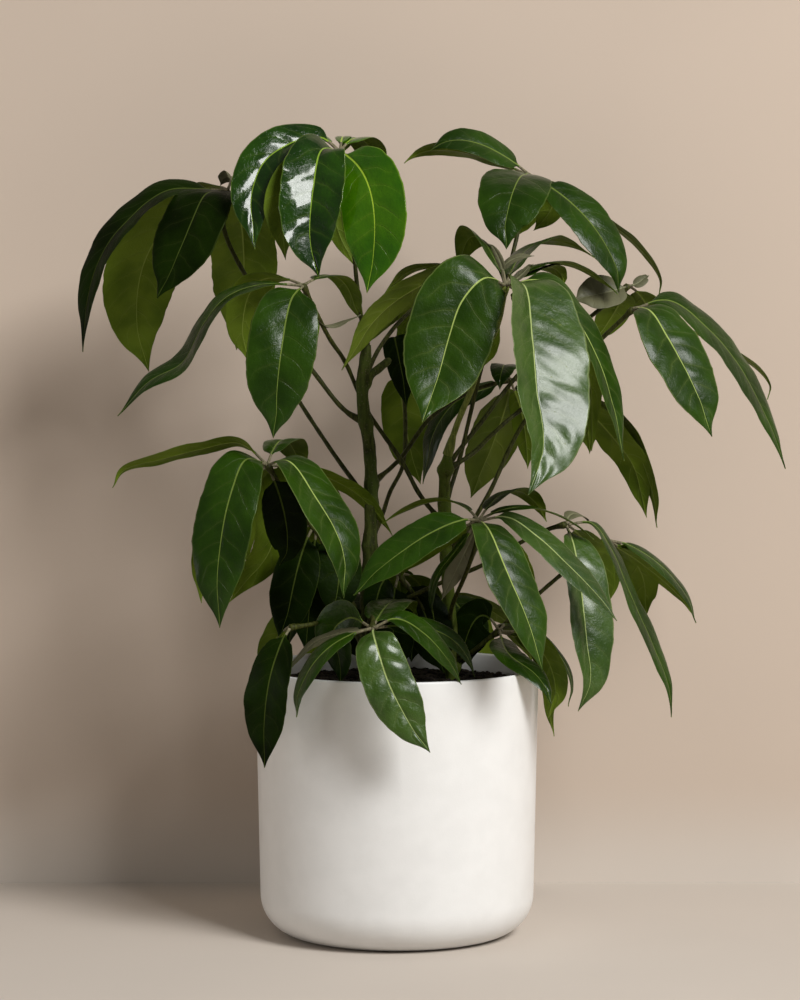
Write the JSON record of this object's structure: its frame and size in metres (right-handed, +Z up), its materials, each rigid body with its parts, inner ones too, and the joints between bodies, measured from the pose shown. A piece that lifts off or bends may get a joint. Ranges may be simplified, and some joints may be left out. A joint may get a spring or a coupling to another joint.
{
  "type": "potted umbrella plant",
  "caption": "Umbrella plant with two upright stems and long drooping leaflets, growing in a smooth round pot with a rounded bottom edge that stands on a floor.",
  "frame": {"origin": "centre of the pot's flat underside, on the floor", "axes": "+Z up along the pot's axis, +X to the plant's right as seen from its front, -Y the front"},
  "size_m": [0.7012, 0.3575, 0.7983],
  "materials": {
    "pot_glaze": "satin",
    "potting_soil": "matte",
    "woody_stem": "matte",
    "green_petiole": "satin",
    "leaf_blade": "gloss"
  },
  "bodies": {
    "root": {"pot": "pot_glaze", "soil": "potting_soil", "stem_left": "woody_stem", "stem_right": "woody_stem", "high_left_petiole": "green_petiole", "high_left_leaflet_1": "leaf_blade", "high_left_leaflet_2": "leaf_blade", "high_left_leaflet_3": "leaf_blade", "high_left_leaflet_4": "leaf_blade", "mid_left_petiole": "green_petiole", "mid_left_leaflet_1": "leaf_blade", "mid_left_leaflet_2": "leaf_blade", "mid_left_leaflet_3": "leaf_blade", "top_petiole": "green_petiole", "top_leaflet_1": "leaf_blade", "top_leaflet_2": "leaf_blade", "top_leaflet_3": "leaf_blade", "top_leaflet_4": "leaf_blade", "high_right_petiole": "green_petiole", "high_right_leaflet_1": "leaf_blade", "high_right_leaflet_2": "leaf_blade", "high_right_leaflet_3": "leaf_blade", "crown_petiole": "green_petiole", "crown_leaflet_1": "leaf_blade", "crown_leaflet_2": "leaf_blade", "crown_leaflet_3": "leaf_blade", "crown_leaflet_4": "leaf_blade", "far_right_petiole": "green_petiole", "far_right_leaflet_1": "leaf_blade", "far_right_leaflet_2": "leaf_blade", "low_left_petiole": "green_petiole", "low_left_leaflet_1": "leaf_blade", "low_left_leaflet_2": "leaf_blade", "low_left_leaflet_3": "leaf_blade", "low_left_leaflet_4": "leaf_blade", "centre_petiole": "green_petiole", "centre_leaflet_1": "leaf_blade", "centre_leaflet_2": "leaf_blade", "centre_leaflet_3": "leaf_blade", "low_right_petiole": "green_petiole", "low_right_leaflet_1": "leaf_blade", "low_right_leaflet_2": "leaf_blade", "low_right_rear_petiole": "green_petiole", "low_right_rear_leaflet_1": "leaf_blade", "rim_front_petiole": "green_petiole", "rim_front_leaflet_1": "leaf_blade", "rim_front_leaflet_2": "leaf_blade", "rim_front_leaflet_3": "leaf_blade", "rim_left_petiole": "green_petiole", "rim_left_leaflet_1": "leaf_blade", "rim_right_petiole": "green_petiole", "rim_right_leaflet_1": "leaf_blade", "rim_right_leaflet_2": "leaf_blade", "inner_rear_petiole": "green_petiole", "inner_rear_leaflet_1": "leaf_blade", "inner_rear_leaflet_2": "leaf_blade", "rear_right_petiole": "green_petiole", "rear_right_leaflet_1": "leaf_blade", "inner_left_petiole": "green_petiole", "inner_left_leaflet_1": "leaf_blade"}
  },
  "joints": []
}
